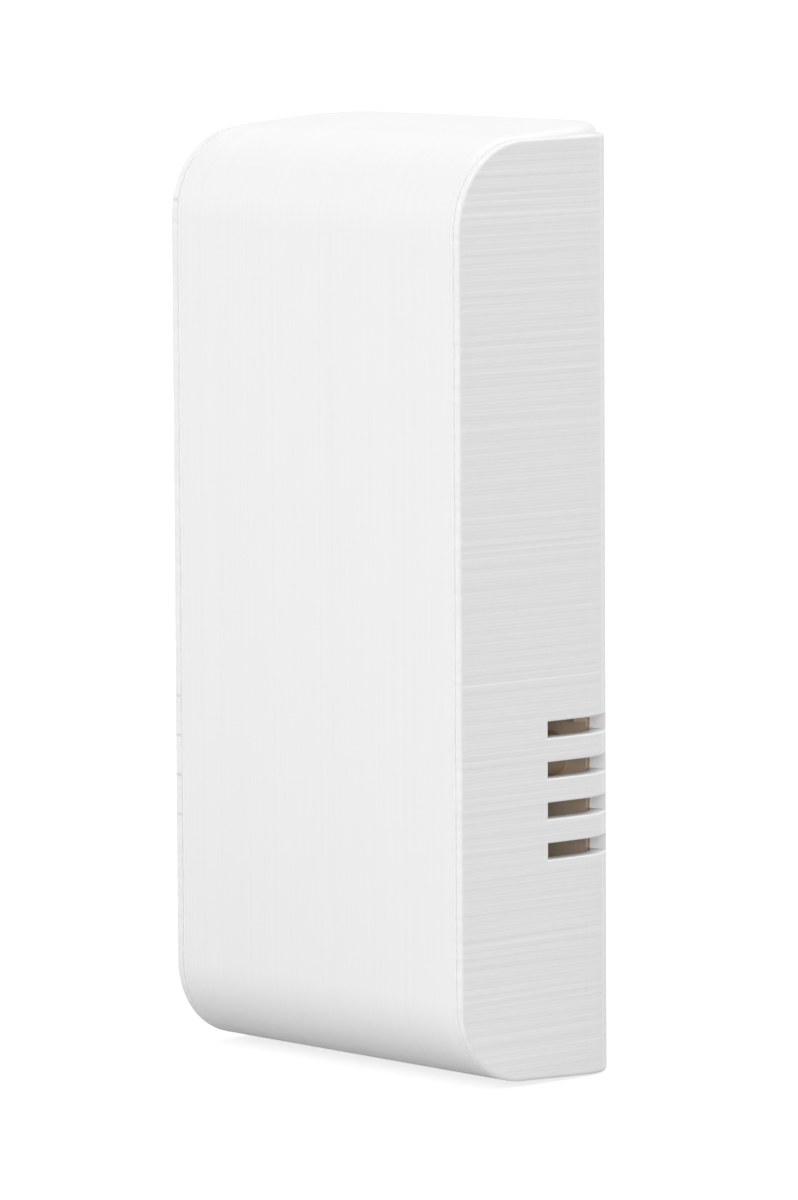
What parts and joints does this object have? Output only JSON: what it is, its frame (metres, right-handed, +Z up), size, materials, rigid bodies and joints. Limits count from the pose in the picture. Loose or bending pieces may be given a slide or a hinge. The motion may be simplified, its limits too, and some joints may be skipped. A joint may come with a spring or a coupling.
{
  "type": "wireless thermostat",
  "caption": "Upright white printed case with rounded corners and side vents, over a wall plate that carries a battery tray and a radio board with a temperature sensor.",
  "frame": {"origin": "centre of the wall face of the back plate", "axes": "+X to the right seen from the front, +Y into the wall, +Z up"},
  "size_m": [0.0538, 0.028, 0.1175],
  "materials": {
    "white_print": "matte, fine printed layer lines",
    "plate_print": "matte, wood-coloured, printed raster lines",
    "zinc_steel": "zinc plated",
    "tray_plastic": "moulded, fine grain",
    "cell_steel": "nickel plated, satin",
    "cell_wrap": "shrink film, glossy",
    "nickel_strip": "nickel plated strip",
    "nickel_wire": "drawn nickel plated wire",
    "black_insulation": "satin insulation",
    "red_insulation": "satin insulation",
    "solder": "bright, slightly dull",
    "green_board": "solder mask",
    "radio_board": "solder mask",
    "shield_metal": "tinned sheet",
    "gold_track": "gold flashed",
    "chip_black": "moulded",
    "ferrite": "fine rough ferrite",
    "tantalum_case": "moulded, satin",
    "ceramic_chip": "satin with tinned ends",
    "resistor_chip": "glazed with tinned ends",
    "led_lens": "milky lens",
    "button_plastic": "satin",
    "knob_plastic": "satin"
  },
  "bodies": {
    "base": {"back_plate": "plate_print", "keeper_screw": "zinc_steel", "battery_tray": "tray_plastic", "tray_screws": "zinc_steel", "cell_left_can": "cell_steel", "cell_left_sleeve": "cell_wrap", "cell_right_can": "cell_steel", "cell_right_sleeve": "cell_wrap", "negative_contact": "nickel_strip", "negative_spring": "nickel_wire", "positive_contact": "nickel_strip", "bridge_contact": "nickel_strip", "bridge_spring": "nickel_wire", "lead_black": "black_insulation", "lead_red": "red_insulation", "solder_joints": "solder", "main_board": "green_board", "board_screws": "zinc_steel", "radio_board": "radio_board", "radio_shield": "shield_metal", "radio_antenna": "gold_track", "voltage_regulator": "chip_black", "power_inductor": "ferrite", "tantalum_capacitor": "tantalum_case", "chip_capacitors": "ceramic_chip", "chip_resistors": "resistor_chip", "status_led": "led_lens", "button_housing": "chip_black", "button_frame": "shield_metal", "button_dome": "nickel_strip", "switch_base": "chip_black", "switch_frame": "shield_metal", "sensor_board": "radio_board", "sensor_chip": "chip_black", "sensor_header": "chip_black", "sensor_pins": "gold_track"},
    "cover": {"cover": "white_print"},
    "button": {"button_plunger": "button_plastic"},
    "switch": {"switch_knob": "knob_plastic"}
  },
  "joints": [
    {"name": "cover_lift", "type": "slide", "parent": "base", "child": "cover", "axis": [0, -1, 0], "range_m": [0, 0.032]},
    {"name": "pair_button_press", "type": "slide", "parent": "base", "child": "button", "axis": [0, 1, 0], "range_m": [0, 0.00025], "stiffness_N_per_m": 4000},
    {"name": "power_switch_slide", "type": "slide", "parent": "base", "child": "switch", "axis": [0, 0, 1], "range_m": [0, 0.002]}
  ]
}
